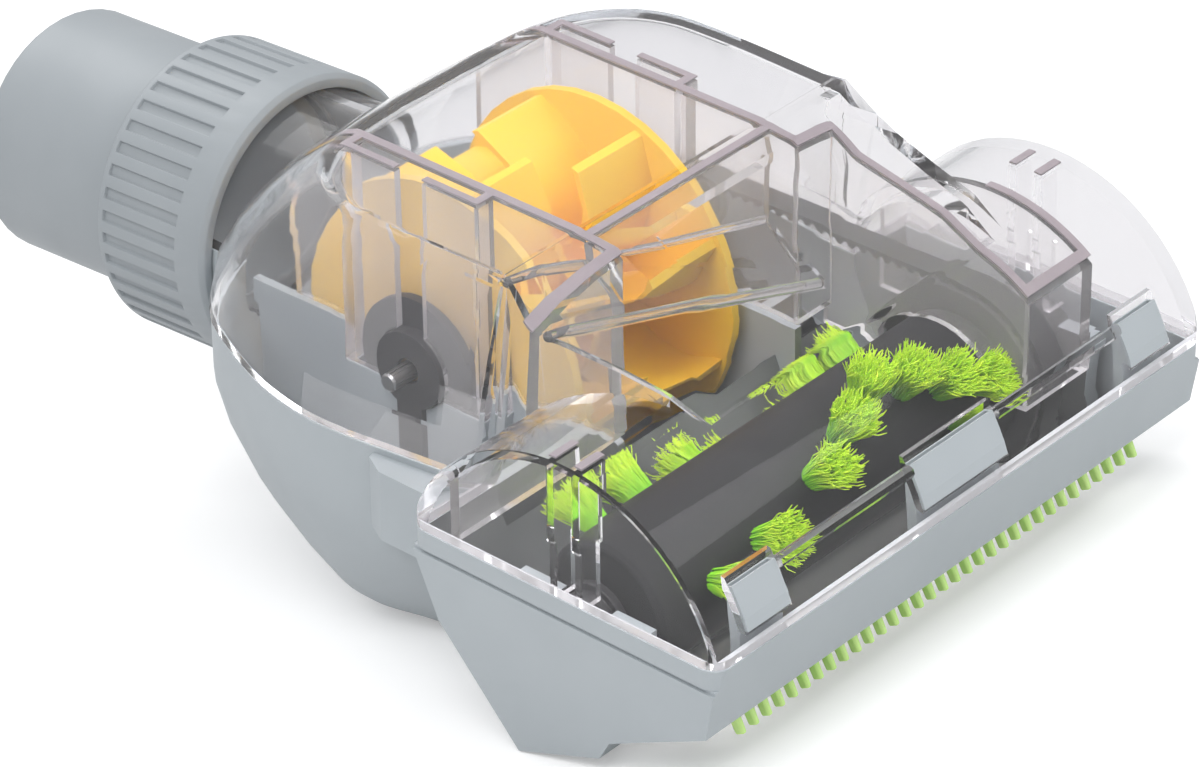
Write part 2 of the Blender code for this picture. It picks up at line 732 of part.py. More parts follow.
def grooved_circle(along, radius, depth):
    """One outline of the ring: two points on each land and two in each groove."""
    count = GROOVE_COUNT * 4
    points = []
    for i in range(count):
        angle = 2 * math.pi * (i + 0.5 * (i % 2)) / count
        reach = radius - (depth if i % 4 in (1, 2) else 0)
        points.append(tube_point(along, reach * math.cos(angle), reach * math.sin(angle)))
    return points


def locking_ring():
    end = RING_LENGTH
    levels = [
        (0, RING_RADIUS - 0.8, 0), (0.8, RING_RADIUS, 0),
        (RING_BAND, RING_RADIUS, 0), (RING_BAND + 0.4, RING_RADIUS, GROOVE_DEPTH),
        (end - 1.6, RING_RADIUS, GROOVE_DEPTH), (end - 1.2, RING_RADIUS, 0), (end, RING_RADIUS - 0.7, 0),
    ]
    body = loft([grooved_circle(*level) for level in levels])
    front_bore = NECK_RADIUS + FIT_GAP
    rear_bore = TUBE_RADIUS + FIT_GAP
    shoulder = end - RING_SHOULDER
    bore = [
        (-2, 0), (-2, front_bore), (shoulder, front_bore),
        (shoulder, rear_bore), (end + 2, rear_bore), (end + 2, 0),
    ]
    cut(body, turned(bore, None, 48, "tube"))
    return finish(body, "locking_ring", "ring plastic", tube_point(0, 0, 0))


def connector_tube():
    start = NECK_LENGTH + SEAL_LENGTH + 2 * FIT_GAP
    collar = NECK_RADIUS - FIT_GAP
    narrow = TUBE_BORE - 0.6
    profile = [
        (start, narrow), (start, collar),
        (start + COLLAR_LENGTH, collar), (start + COLLAR_LENGTH, TUBE_RADIUS),
        (TUBE_LENGTH - 1, TUBE_RADIUS), (TUBE_LENGTH, TUBE_RADIUS - 0.8), (TUBE_LENGTH, TUBE_BORE + 0.6),
        (TUBE_LENGTH - 0.8, TUBE_BORE), (start + 14, narrow),
    ]
    return finish(turned(profile, None, 44, "tube"), "connector_tube", "ring plastic", tube_point(0, 0, 0))


def neck_seal():
    start = NECK_LENGTH + FIT_GAP
    end = start + SEAL_LENGTH
    inner, outer = NECK_BORE + 0.2, NECK_RADIUS - 0.1
    profile = [(start, inner), (start, outer), (end, outer), (end, inner)]
    return finish(turned(profile, None, 40, "tube"), "neck_seal", "dark rubber")


def blade(index, side):
    """One swept blade of the row on this side, from near the middle to the end disc."""
    tip = BLADE_TIPS[side] + 2 * math.pi * index / BLADES
    front, back = [], []
    for share in np.linspace(0, 1, 5):
        radius = HUB_RADIUS - 0.8 + share * (TURBINE_RADIUS - HUB_RADIUS - 0.2)
        angle = tip + BLADE_SWEEP * (1 - share**1.6)
        half = BLADE_THICKNESS / 2 / radius
        front.append((TURBINE_Y + radius * math.cos(angle - half), TURBINE_Z + radius * math.sin(angle - half)))
        back.append((TURBINE_Y + radius * math.cos(angle + half), TURBINE_Z + radius * math.sin(angle + half)))
    low, high = sorted((ROW_GAP * side, (TURBINE_HALF - 0.5) * side))
    return prism(front + back[::-1], "x", low, high)


def turbine_rotor():
    middle = (TURBINE_Y, TURBINE_Z)
    half, disc = TURBINE_HALF, DISC_THICKNESS
    rim = TURBINE_RADIUS
    profile = [
        (-half, SHAFT_RADIUS + FIT_GAP), (-half, rim), (-half + disc, rim), (-half + disc, HUB_RADIUS),
        (-disc / 2, HUB_RADIUS), (-disc / 2, WEB_RADIUS), (disc / 2, WEB_RADIUS), (disc / 2, HUB_RADIUS),
        (half - disc, HUB_RADIUS), (half - disc, rim), (half, rim), (half, SHAFT_RADIUS + FIT_GAP),
    ]
    rotor = turned(profile, middle, 36)
    for side in (-1, 1):
        for index in range(BLADES):
            join(rotor, blade(index, side))
    return finish(rotor, "turbine_rotor", "yellow plastic", (0, *middle))


def turbine_shaft():
    r = SHAFT_RADIUS
    left, right = -BRACKET_X - SHAFT_OUT, BELT_X + 4.0
    profile = [
        (left, 0), (left, r - 0.3), (left + 0.3, r),
        (right - 0.3, r), (right, r - 0.3), (right, 0),
    ]
    middle = (TURBINE_Y, TURBINE_Z)
    return finish(turned(profile, middle, 16), "turbine_shaft", "steel", (0, *middle))


def side_name(side):
    return "left" if side < 0 else "right"


def bearing_holder(side):
    """Round plate against the chamber wall, with a boss and a bar that sit in the bracket slot."""
    middle = (TURBINE_Y, TURBINE_Z)
    inner = CHAMBER_HALF + CHAMBER_WALL + FIT_GAP
    face = BRACKET_X - FIT_GAP
    front = BRACKET_X + BRACKET_WALL + 0.9
    pocket = BEARING_RADIUS + FIT_GAP
    hole = SHAFT_RADIUS + RUNNING_GAP
    profile = [
        (inner, pocket), (inner, HOLDER_RADIUS), (face, HOLDER_RADIUS), (face, BOSS_RADIUS),
        (front, BOSS_RADIUS), (front, hole), (front - 0.9, hole), (front - 0.9, pocket),
    ]
    profile = [(side * x, radius) for x, radius in profile]
    holder = turned(profile, middle, 28)
    half = SLOT_WIDTH / 2 - FIT_GAP
    low, high = sorted((side * (face - 0.8), side * front))
    bottom, top = TURBINE_Z - HOLDER_BAR, TURBINE_Z - BOSS_RADIUS + 1
    join(holder, box((low, TURBINE_Y - half, bottom), (high, TURBINE_Y + half, top)))
    return finish(holder, f"bearing_holder_{side_name(side)}", "black plastic")


def turbine_bearing(side):
    inner = CHAMBER_HALF + CHAMBER_WALL + FIT_GAP
    front = BRACKET_X + BRACKET_WALL - FIT_GAP
    bore = SHAFT_RADIUS + AXLE_CLEARANCE
    profile = [(inner, bore), (inner, BEARING_RADIUS), (front, BEARING_RADIUS), (front, bore)]
    ring = turned([(side * x, radius) for x, radius in profile], (TURBINE_Y, TURBINE_Z), 20)
    return finish(ring, f"turbine_bearing_{side_name(side)}", "bronze")


def pulley(name, radius, bore, middle):
    left, right = BELT_X - BELT_WIDTH / 2 - 0.4, BELT_X + BELT_WIDTH / 2 + 0.4
    rim, flange = 0.9, radius + 1.2
    profile = [
        (left - rim, bore), (left - rim, flange), (left, flange), (left, radius),
        (right, radius), (right, flange), (right + rim, flange), (right + rim, bore),
    ]
    return finish(turned(profile, middle, 28), name, "black plastic", (0, *middle))


def belt_loop(extra):
    """Outline of a band around both pulleys, at a distance from their rims."""
    small, large = TURBINE_PULLEY_RADIUS + extra, BRUSH_PULLEY_RADIUS + extra
    run = (TURBINE_Y, TURBINE_Z - BRUSH_Z)
    length = math.hypot(*run)
    heading = math.atan2(run[1], run[0])
    lean = math.acos((large - small) / length)
    around_large = arc(large, heading + lean, heading + 2 * math.pi - lean, 30, (0, BRUSH_Z))
    around_small = arc(small, heading - lean, heading + lean, 16, (TURBINE_Y, TURBINE_Z))
    return around_large + around_small


def drive_belt():
    low, high = BELT_X - BELT_WIDTH / 2, BELT_X + BELT_WIDTH / 2
    belt = prism(belt_loop(FIT_GAP + BELT_THICKNESS), "x", low, high)
    cut(belt, prism(belt_loop(FIT_GAP), "x", low - 1, high + 1))
    return finish(belt, "drive_belt", "dark rubber")


def brush_roller():
    bore = AXLE_RADIUS + FIT_GAP
    r = ROLLER_RADIUS
    profile = [
        (ROLLER_LEFT, bore), (ROLLER_LEFT, r - 1), (ROLLER_LEFT + 1, r),
        (ROLLER_RIGHT - 0.6, r), (ROLLER_RIGHT, r - 0.6), (ROLLER_RIGHT, bore),
    ]
    middle = (0.0, BRUSH_Z)
    return finish(turned(profile, middle, 40), "brush_roller", "black plastic", (0, *middle))


def brush_axle():
    axle = drum(-AXLE_HALF, AXLE_HALF, AXLE_RADIUS, (0, BRUSH_Z), 16)
    return finish(axle, "brush_axle", "steel", (0, 0, BRUSH_Z))


def brush_bearing(side):
    """Bush in the seat of the base, with a flange on the roller's side."""
    bore = AXLE_RADIUS + AXLE_CLEARANCE
    inner, outer = SEAT_X - BUSH_HALF, SEAT_X + BUSH_HALF
    step, flange = SEAT_X - SEAT_WIDTH / 2 - FIT_GAP, BUSH_RADIUS + 1.3
    profile = [
        (inner, bore), (inner, flange), (step, flange),
        (step, BUSH_RADIUS), (outer, BUSH_RADIUS), (outer, bore),
    ]
    bush = turned([(side * x, radius) for x, radius in profile], (0, BRUSH_Z), 24)
    return finish(bush, f"brush_bearing_{side_name(side)}", "black plastic")


def tuft(name, x, angle):
    """A bundle of bristles, flared from its root on the roller to its tip."""
    direction = Vector((0, -math.cos(angle), math.sin(angle)))
    side = Vector((0, math.sin(angle), math.cos(angle)))
    rings = []
    root, neck_reach = ROLLER_RADIUS + FIT_GAP, ROLLER_RADIUS + 3.5
    for reach, radius in ((root, TUFT_ROOT), (neck_reach, TUFT_ROOT + 0.5), (TUFT_REACH, TUFT_TIP)):
        ring = []
        for i in range(8):
            turn = 2 * math.pi * i / 8
            middle = Vector((x + radius * math.cos(turn), 0, BRUSH_Z))
            ring.append(tuple(middle + direction * reach + side * radius * math.sin(turn)))
        rings.append(ring)
    return finish(loft(rings), name, "green bristle", (0, 0, BRUSH_Z))


def comb_strip():
    """Strip with teeth, held in the groove of the front bar."""
    pitch = 2 * COMB_HALF / COMB_TEETH
    outline = [(COMB_HALF, -COMB_BODY), (-COMB_HALF, -COMB_BODY)]
    for i in range(COMB_TEETH):
        left = -COMB_HALF + i * pitch
        outline += [(left, -0.4), (left + 0.28 * pitch, -0.4), (left + 0.34 * pitch, COMB_TOOTH)]
        outline += [(left + 0.66 * pitch, COMB_TOOTH), (left + 0.72 * pitch, -0.4)]
    outline.append((COMB_HALF, -0.4))
    rings = []
    for along in (COMB_ALONG - COMB_THICKNESS / 2, COMB_ALONG + COMB_THICKNESS / 2):
        rings.append([(x, *working_face(along, out)) for x, out in outline])
    return finish(loft(rings), "comb_strip", "green rubber")


def settle(root):
    """Tilts the brush onto its rear mouth edge and its bowl, and puts the lowest point at zero height."""
    lever = Vector((0, BOWL_MIDDLE[0] - REAR_EDGE[0], BOWL_MIDDLE[1] - REAR_EDGE[1]))
    tilt = math.asin(BOWL_RADIUS * BOWL_LEVELS[-1] / lever.length) - math.atan2(lever.z, lever.y)
    root.rotation_euler = (tilt, 0, 0)
    bpy.context.view_layer.update()
    pieces = [obj for obj in bpy.data.objects if obj.type == "MESH"]
    corners = [piece.matrix_world @ vertex.co for piece in pieces for vertex in piece.data.vertices]
    low = [min(point[axis] for point in corners) for axis in range(3)]
    high = [max(point[axis] for point in corners) for axis in range(3)]
    root.location = (-(low[0] + high[0]) / 2, -(low[1] + high[1]) / 2, -low[2])
    bpy.context.view_layer.update()


def main():
    clear_scene()
    root = bpy.data.objects.new("turbo_brush", None)
    bpy.context.scene.collection.objects.link(root)
    base_housing()
    top_cover()
    locking_ring()
    connector_tube()
    neck_seal()
    turbine_rotor()
    turbine_shaft()
    for side in (-1, 1):
        bearing_holder(side)
        turbine_bearing(side)
        brush_bearing(side)
    pulley("turbine_pulley", TURBINE_PULLEY_RADIUS, SHAFT_RADIUS + FIT_GAP, (TURBINE_Y, TURBINE_Z))
    pulley("brush_pulley", BRUSH_PULLEY_RADIUS, AXLE_RADIUS + FIT_GAP, (0.0, BRUSH_Z))
    drive_belt()
    brush_roller()
    brush_axle()
    for row, offset in enumerate(ROW_ANGLES):
        for number, (share, angle) in enumerate(TUFT_ROW):
            x = ROLLER_LEFT + share * (HOUSING_LEFT - TUFT_TIP - FIT_GAP - ROLLER_LEFT)
            tuft(f"tuft_{row + 1}_{number + 1}", x, math.radians(angle + offset))
    comb_strip()
    settle(root)


main()
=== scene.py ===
import json
import math
import random

import bmesh
import bpy
from mathutils import Matrix, Vector


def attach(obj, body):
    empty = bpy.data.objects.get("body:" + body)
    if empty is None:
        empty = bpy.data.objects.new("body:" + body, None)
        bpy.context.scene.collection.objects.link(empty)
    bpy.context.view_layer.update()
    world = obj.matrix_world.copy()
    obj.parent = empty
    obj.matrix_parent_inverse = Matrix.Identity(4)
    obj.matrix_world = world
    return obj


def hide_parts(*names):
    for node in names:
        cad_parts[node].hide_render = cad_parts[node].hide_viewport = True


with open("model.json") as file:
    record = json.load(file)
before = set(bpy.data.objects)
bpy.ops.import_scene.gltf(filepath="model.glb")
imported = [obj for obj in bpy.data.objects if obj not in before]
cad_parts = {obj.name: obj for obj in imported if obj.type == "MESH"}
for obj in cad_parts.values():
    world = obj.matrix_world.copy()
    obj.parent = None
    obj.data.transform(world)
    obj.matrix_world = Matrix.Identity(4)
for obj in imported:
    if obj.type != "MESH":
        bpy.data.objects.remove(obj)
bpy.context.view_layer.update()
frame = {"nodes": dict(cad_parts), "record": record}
nodes = frame["nodes"]
bodies = frame["record"]["behaviour"]["bodies"]
bodyOf = {node: body for body, members in bodies.items() for node in members}
print("frame loaded:", len(nodes), "nodes")

mm = 0.001

# The brush stands tilted on its bowl, so most pieces are modelled level, in the axes of the rim,
# and rimToWorld sets them down. The hose tube has a slope of its own.
tiltAngle = math.radians(13.99)
headPlace = Vector((0, -0.06862, 0.02933))
rimToWorld = Matrix.Translation(headPlace) @ Matrix.Rotation(tiltAngle, 4, "X")
worldToRim = rimToWorld.inverted()
turnBack = worldToRim.to_3x3()
tubeSlope = math.radians(3.2)
tubeStart = Vector((0, 109, -4.95)) * mm
tubeToWorld = rimToWorld @ Matrix.Translation(tubeStart) @ Matrix.Rotation(-math.pi / 2 - tubeSlope, 4, "X")

# where the two axles cross the rim's middle plane, as y and z in millimetres
rollerSpot = (0, -7.7)
turbineSpot = (61, -1)
turbinePlace = Vector((0, *turbineSpot)) * mm
turbineToWorld = rimToWorld @ Matrix.Translation(turbinePlace) @ Matrix.Rotation(math.pi / 2, 4, "Y")


# small helpers

def clearSelection():
    bpy.ops.object.select_all(action="DESELECT")


def selectOnly(piece):
    clearSelection()
    piece.select_set(True)
    bpy.context.view_layer.objects.active = piece


def editOn(piece, mode="FACE"):
    selectOnly(piece)
    bpy.ops.object.mode_set(mode="EDIT")
    bpy.ops.mesh.select_mode(type=mode)
    bpy.ops.mesh.select_all(action="DESELECT")


def editOff():
    bpy.ops.object.mode_set(mode="OBJECT")


def pick(piece, kind, test):
    # selects in edit mode what the test finds, by its place and normal
    mesh = bmesh.from_edit_mesh(piece.data)
    for item in {"verts": mesh.verts, "edges": mesh.edges, "faces": mesh.faces}[kind]:
        item.select_set(bool(test(item)))
    mesh.select_flush_mode()
    bmesh.update_edit_mesh(piece.data)


def sharpen(piece, angle=32):
    selectOnly(piece)
    bpy.ops.object.shade_smooth_by_angle(angle=math.radians(angle))


def applyAll(piece):
    selectOnly(piece)
    for modifier in list(piece.modifiers):
        bpy.ops.object.modifier_apply(modifier=modifier.name)


def roundEdges(piece, width, angle=35, steps=2, slot=-1):
    modifier = piece.modifiers.new("roundEdges", "BEVEL")
    modifier.width = width * mm
    modifier.segments = steps
    modifier.limit_method = "ANGLE"
    modifier.angle_limit = math.radians(angle)
    modifier.material = slot
    modifier.use_clamp_overlap = True
    applyAll(piece)


def evenNormals(piece):
    modifier = piece.modifiers.new("evenNormals", "WEIGHTED_NORMAL")
    modifier.keep_sharp = True
    applyAll(piece)


def carve(piece, tool):
    modifier = piece.modifiers.new("carve", "BOOLEAN")
    modifier.operation = "DIFFERENCE"
    modifier.object = tool
    applyAll(piece)
    bpy.data.objects.remove(tool, do_unlink=True)


def setDown(piece, matrix):
    # puts a piece modelled at the origin in its place, and leaves its object unturned
    piece.data.transform(matrix)
    piece.data.update()


def faceOut(piece):
    editOn(piece)
    bpy.ops.mesh.select_all(action="SELECT")
    bpy.ops.mesh.normals_make_consistent(inside=False)
    editOff()


def newPiece(name):
    piece = bpy.context.active_object
    piece.name = name
    piece.data.name = name
    return piece


def addBar(name, sides, radius, low, high, ends="NGON"):
    # an upright bar between two heights
    clearSelection()
    bpy.ops.mesh.primitive_cylinder_add(
        vertices=sides, radius=radius, depth=high - low, end_fill_type=ends, location=(0, 0, (low + high) / 2))
    bar = newPiece(name)
    bpy.ops.object.transform_apply(location=True)
    return bar


def cutAcross(levels):
    # cuts the piece in edit mode at each level, so that its bands can be picked
    for level in levels:
        bpy.ops.mesh.select_all(action="SELECT")
        bpy.ops.mesh.bisect(plane_co=(0, 0, level), plane_no=(0, 0, 1))


def resizeFlat(share, level=0):
    bpy.ops.transform.resize(value=(share, share, 1), center_override=(0, 0, level))


def joinPieces(pieces, name):
    clearSelection()
    for piece in pieces:
        piece.select_set(True)
    bpy.context.view_layer.objects.active = pieces[0]
    bpy.ops.object.join()
    return newPiece(name)


# merge is in metres, flatten in degrees
copying = {"merge": 0.000004, "flatten": 0.4}


def cleanCopy(nodeName, pieceName):
    # a merged copy of a CAD node, whose own mesh is loose triangles
    piece = bpy.data.objects.new(pieceName, nodes[nodeName].data.copy())
    bpy.context.scene.collection.objects.link(piece)
    editOn(piece)
    bpy.ops.mesh.select_all(action="SELECT")
    bpy.ops.mesh.remove_doubles(threshold=copying["merge"])
    bpy.ops.mesh.dissolve_limited(angle_limit=math.radians(copying["flatten"]))
    editOff()
    sharpen(piece)
    return piece


def dress(piece, *surfaces):
    piece.data.materials.clear()
    for surface in surfaces:
        piece.data.materials.append(surface)


def takeOver(piece, nodeName):
    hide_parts(nodeName)
    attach(piece, bodyOf[nodeName])


# surfaces

def newSurface(name, colour, roughness):
    surface = bpy.data.materials.new(name)
    surface.use_nodes = True
    shader = surface.node_tree.nodes["Principled BSDF"]
    shader.inputs["Base Color"].default_value = (*colour, 1)
    shader.inputs["Roughness"].default_value = roughness
    return surface, surface.node_tree.nodes, surface.node_tree.links, shader


def noise(tree, links, place, scale, detail):
    cloud = tree.new("ShaderNodeTexNoise")
    cloud.inputs["Scale"].default_value = scale
    cloud.inputs["Detail"].default_value = detail
    links.new(place, cloud.inputs["Vector"])
    return cloud.outputs["Fac"]


def ramp(tree, links, source, low, high, first, second):
    tone = tree.new("ShaderNodeValToRGB")
    tone.color_ramp.elements[0].position = low
    tone.color_ramp.elements[0].color = (*first, 1)
    tone.color_ramp.elements[1].position = high
    tone.color_ramp.elements[1].color = (*second, 1)
    links.new(source, tone.inputs["Fac"])
    return tone.outputs["Color"]


def varyGloss(tree, links, shader, source, low, high):
    gloss = tree.new("ShaderNodeMapRange")
    gloss.inputs["To Min"].default_value = low
    gloss.inputs["To Max"].default_value = high
    links.new(source, gloss.inputs["Value"])
    links.new(gloss.outputs["Result"], shader.inputs["Roughness"])


mouldedLook = {
    "cloudDetail": 4, "cloudRange": (0.3, 0.7), "glossScale": 140, "glossDetail": 5, "glossRange": (-0.05, 0.07),
    "grainDepth": 0.00002, "grainScale": 3500, "grainDetail": 2, "grainStrength": 0.35,
}


def mouldedPlastic(name, colour, darker, roughness, cloudScale=60):
    surface, tree, links, shader = newSurface(name, colour, roughness)
    place = tree.new("ShaderNodeTexCoord").outputs["Object"]
    clouds = noise(tree, links, place, cloudScale, mouldedLook["cloudDetail"])
    tone = ramp(tree, links, clouds, *mouldedLook["cloudRange"], darker, colour)
    links.new(tone, shader.inputs["Base Color"])
    # the gloss varies a little, as handled plastic does
    patches = noise(tree, links, place, mouldedLook["glossScale"], mouldedLook["glossDetail"])
    smoother, rougher = mouldedLook["glossRange"]
    varyGloss(tree, links, shader, patches, roughness + smoother, roughness + rougher)
    bump = tree.new("ShaderNodeBump")
    bump.inputs["Strength"].default_value = mouldedLook["grainStrength"]
    bump.inputs["Distance"].default_value = mouldedLook["grainDepth"]
    grain = noise(tree, links, place, mouldedLook["grainScale"], mouldedLook["grainDetail"])
    links.new(grain, bump.inputs["Height"])
    links.new(bump.outputs["Normal"], shader.inputs["Normal"])
    return surface


clearLook = {"glossScale": 55, "glossDetail": 4, "glossShares": (0.5, 1.8), "shadowLoss": 0.02}


def clearPlastic(name, tint, roughness, ior, cloudy):
    # solid clear plastic that bends light; lamps shine straight through it, a little tinted
    surface, tree, links, shader = newSurface(name, tint, roughness)
    shader.inputs["IOR"].default_value = ior
    shader.inputs["Transmission Weight"].default_value = 1 - cloudy
    place = tree.new("ShaderNodeTexCoord").outputs["Object"]
    patches = noise(tree, links, place, clearLook["glossScale"], clearLook["glossDetail"])
    smoother, rougher = clearLook["glossShares"]
    varyGloss(tree, links, shader, patches, roughness * smoother, roughness * rougher)
    paths = tree.new("ShaderNodeLightPath")
    through = tree.new("ShaderNodeBsdfTransparent")
    through.inputs["Color"].default_value = (*[value - clearLook["shadowLoss"] for value in tint], 1)
    mix = tree.new("ShaderNodeMixShader")
    links.new(paths.outputs["Is Shadow Ray"], mix.inputs[0])
    links.new(shader.outputs["BSDF"], mix.inputs[1])
    links.new(through.outputs["BSDF"], mix.inputs[2])
    links.new(mix.outputs[0], tree["Material Output"].inputs["Surface"])
    return surface


def setShader(surface, name, value):
    surface.node_tree.nodes["Principled BSDF"].inputs[name].default_value = value


greyPlastic = mouldedPlastic("greyPlastic", (0.415, 0.45, 0.47), (0.395, 0.43, 0.45), 0.42)
# painted shade: a darker copy of the grey plastic, for the trough faces turned to the roller, where shade falls
greyTroughShade = mouldedPlastic("greyTroughShade", (0.165, 0.17, 0.175), (0.15, 0.155, 0.16), 0.6)
ringPlastic = mouldedPlastic("ringPlastic", (0.335, 0.36, 0.378), (0.315, 0.34, 0.358), 0.45)
yellowPlastic = mouldedPlastic("yellowPlastic", (0.98, 0.63, 0.03), (0.95, 0.58, 0.02), 0.38)
blackPlastic = mouldedPlastic("blackPlastic", (0.045, 0.044, 0.047), (0.036, 0.035, 0.038), 0.45)
rollerPlastic = mouldedPlastic("rollerPlastic", (0.033, 0.033, 0.035), (0.026, 0.026, 0.028), 0.68)
setShader(rollerPlastic, "Specular IOR Level", 0.2)
darkRubber = mouldedPlastic("darkRubber", (0.035, 0.035, 0.037), (0.028, 0.028, 0.03), 0.62)
combGreen = mouldedPlastic("combGreen", (0.70, 0.97, 0.34), (0.62, 0.93, 0.28), 0.5)
steel = mouldedPlastic("steelPin", (0.56, 0.55, 0.55), (0.5, 0.49, 0.49), 0.3)
setShader(steel, "Metallic", 1.0)
bronze = mouldedPlastic("bronzeBush", (0.45, 0.30, 0.15), (0.40, 0.27, 0.13), 0.4)
setShader(bronze, "Metallic", 1.0)
# painted shade: the dusky colour of the lines where the walls meet the clear skin
wallShadeLine = mouldedPlastic("wallShadeLine", (0.33, 0.285, 0.305), (0.30, 0.26, 0.28), 0.3)

clearSkin = clearPlastic("clearSkin", (0.965, 0.96, 0.965), 0.025, 1.24, 0.012)
clearDome = clearPlastic("clearDome", (0.96, 0.955, 0.965), 0.04, 1.26, 0.03)
# the right flank: a lower IOR that softens its refraction, and a darker, cloudier tint that is painted shade on that
# side only
clearFlankShade = clearPlastic("clearFlankShade", (0.95, 0.935, 0.955), 0.04, 1.1, 0.045)
clearWall = clearPlastic("clearWall", (0.975, 0.96, 0.965), 0.06, 1.2, 0.12)
clearFlange = clearPlastic("clearFlange", (0.93, 0.905, 0.93), 0.05, 1.25, 0.45)
# painted edge shade: a darker, half-cloudy tint on the bevels and narrow wall ends, for the dusky look light gives
# clear edges
clearEdgeShade = clearPlastic("clearEdgeShade", (0.93, 0.90, 0.925), 0.05, 1.22, 0.5)
clearRod = clearPlastic("clearRod", (0.965, 0.96, 0.965), 0.03, 1.42, 0.06)

bristleTint = {"root": (0.42, 0.82, 0.5), "tip": (1, 1, 1), "rootReach": 12.5, "tipReach": 18.5}
bristleGreen = mouldedPlastic("bristleGreen", (0.78, 0.97, 0.055), (0.52, 0.86, 0.03), 0.42, cloudScale=900)


def tintFromRoot(surface):
    # bristles are greener at the roller and yellower towards their tips
    tree, links = surface.node_tree.nodes, surface.node_tree.links
    place = tree.new("ShaderNodeTexCoord").outputs["Object"]
    offset = tree.new("ShaderNodeVectorMath")
    offset.operation = "SUBTRACT"
    offset.inputs[1].default_value = rimToWorld @ (Vector((0, *rollerSpot)) * mm)
    flat = tree.new("ShaderNodeVectorMath")
    flat.operation = "MULTIPLY"
    flat.inputs[1].default_value = (0, 1, 1)
    reach = tree.new("ShaderNodeVectorMath")
    reach.operation = "LENGTH"
    share = tree.new("ShaderNodeMapRange")
    share.inputs["From Min"].default_value = bristleTint["rootReach"] * mm
    share.inputs["From Max"].default_value = bristleTint["tipReach"] * mm
    links.new(place, offset.inputs[0])
    links.new(offset.outputs[0], flat.inputs[0])
    links.new(flat.outputs[0], reach.inputs[0])
    links.new(reach.outputs["Value"], share.inputs["Value"])
    blend = tree.new("ShaderNodeMix")
    blend.data_type = "RGBA"
    blend.blend_type = "MULTIPLY"
    blend.inputs["Factor"].default_value = 1
    shader = tree["Principled BSDF"]
    clouds = shader.inputs["Base Color"].links[0].from_socket
    tint = ramp(tree, links, share.outputs["Result"], 0, 1, bristleTint["root"], bristleTint["tip"])
    # sockets 6 and 7 are the two colours of a colour mix
    links.new(clouds, blend.inputs[6])
    links.new(tint, blend.inputs[7])
    links.new(blend.outputs[2], shader.inputs["Base Color"])


tintFromRoot(bristleGreen)
print("surfaces ready")

# the head's round corners, cut from the base and the cover alike

cornerCut = {"radius": 3.2, "sides": 40, "postHalf": 10, "head": (60.3, 30.6), "bottom": -3.65, "top": 4.5}


def cornerCutter():
    # a block outside each of the head's four corners, with a round post taken out of it
    radius = cornerCut["radius"]
    height = cornerCut["top"] - cornerCut["bottom"]
    lift = Vector((0, 0, cornerCut["top"] - height / 2))
    reach = cornerCut["postHalf"] * mm
    blocks = []
    for sideX in (-1, 1):
        for sideY in (-1, 1):
            middle = Vector((sideX * (cornerCut["head"][0] - radius), sideY * (cornerCut["head"][1] - radius), 0))
            shift = Vector((sideX * radius, sideY * radius, 0))
            post = addBar("post", cornerCut["sides"], radius * mm, -reach, reach)
            setDown(post, Matrix.Translation(middle * mm))
            clearSelection()
            bpy.ops.mesh.primitive_cube_add(size=1)
            block = newPiece("block")
            setDown(block, Matrix.Diagonal((radius * 2 * mm, radius * 2 * mm, height * mm, 1)))
            setDown(block, Matrix.Translation((middle + shift + lift) * mm))
            carve(block, post)
            blocks.append(block)
    cutter = joinPieces(blocks, "cutter")
    setDown(cutter, rimToWorld)
    return cutter


# grey base

base = {
    "edge": 0.22, "troughHalf": 58.5, "troughReach": 29.0, "troughTop": 1.5,
    "tabTop": 8.8, "tabBehind": 25.6, "tabNear": 1, "levelFaces": 0.8,
    "slitRim": 0.4, "slitTaper": 0.02, "slitDepth": 1.6, "slitReach": 2, "slitNear": 0.6,
}
greySlot, troughShadeSlot, slitShadeSlot = range(3)
baseShell = cleanCopy("base_housing", "baseShell")
carve(baseShell, cornerCutter())
sharpen(baseShell)


def facesUp(normal):
    return normal.z > base["levelFaces"]


def tabTop(face):
    middle = worldToRim @ face.calc_center_median() / mm
    onTab = middle.z > base["tabTop"] and abs(middle.y + base["tabBehind"]) < base["tabNear"]
    return onTab and facesUp(turnBack @ face.normal)


editOn(baseShell)
pick(baseShell, "faces", tabTop)
bpy.ops.mesh.inset(thickness=base["slitRim"] * mm, depth=0, use_individual=True)
bpy.ops.mesh.inset(thickness=base["slitTaper"] * mm, depth=-base["slitDepth"] * mm, use_individual=True)
editOff()
roundEdges(baseShell, base["edge"])
evenNormals(baseShell)
dress(baseShell, greyPlastic, greyTroughShade, blackPlastic)
for face in baseShell.data.polygons:
    middle = worldToRim @ face.center / mm
    normal = turnBack @ face.normal
    toRoller = Vector((0, rollerSpot[0] - middle.y, rollerSpot[1] - middle.z))
    inTrough = (abs(middle.x) < base["troughHalf"] and abs(middle.y) < base["troughReach"]
                and middle.z < base["troughTop"])
    inSlit = (base["tabTop"] - base["slitReach"] < middle.z < base["tabTop"]
              and abs(middle.y + base["tabBehind"]) < base["slitNear"])
    # trough faces turned to the roller take the darker grey as painted shade
    face.material_index = troughShadeSlot if inTrough and normal.dot(toRoller) > 0 else greySlot
    # the floors of the tab slits take black plastic as painted shade deep in the gap
    if inSlit and facesUp(normal):
        face.material_index = slitShadeSlot
takeOver(baseShell, "base_housing")
print("base ready")

# clear cover

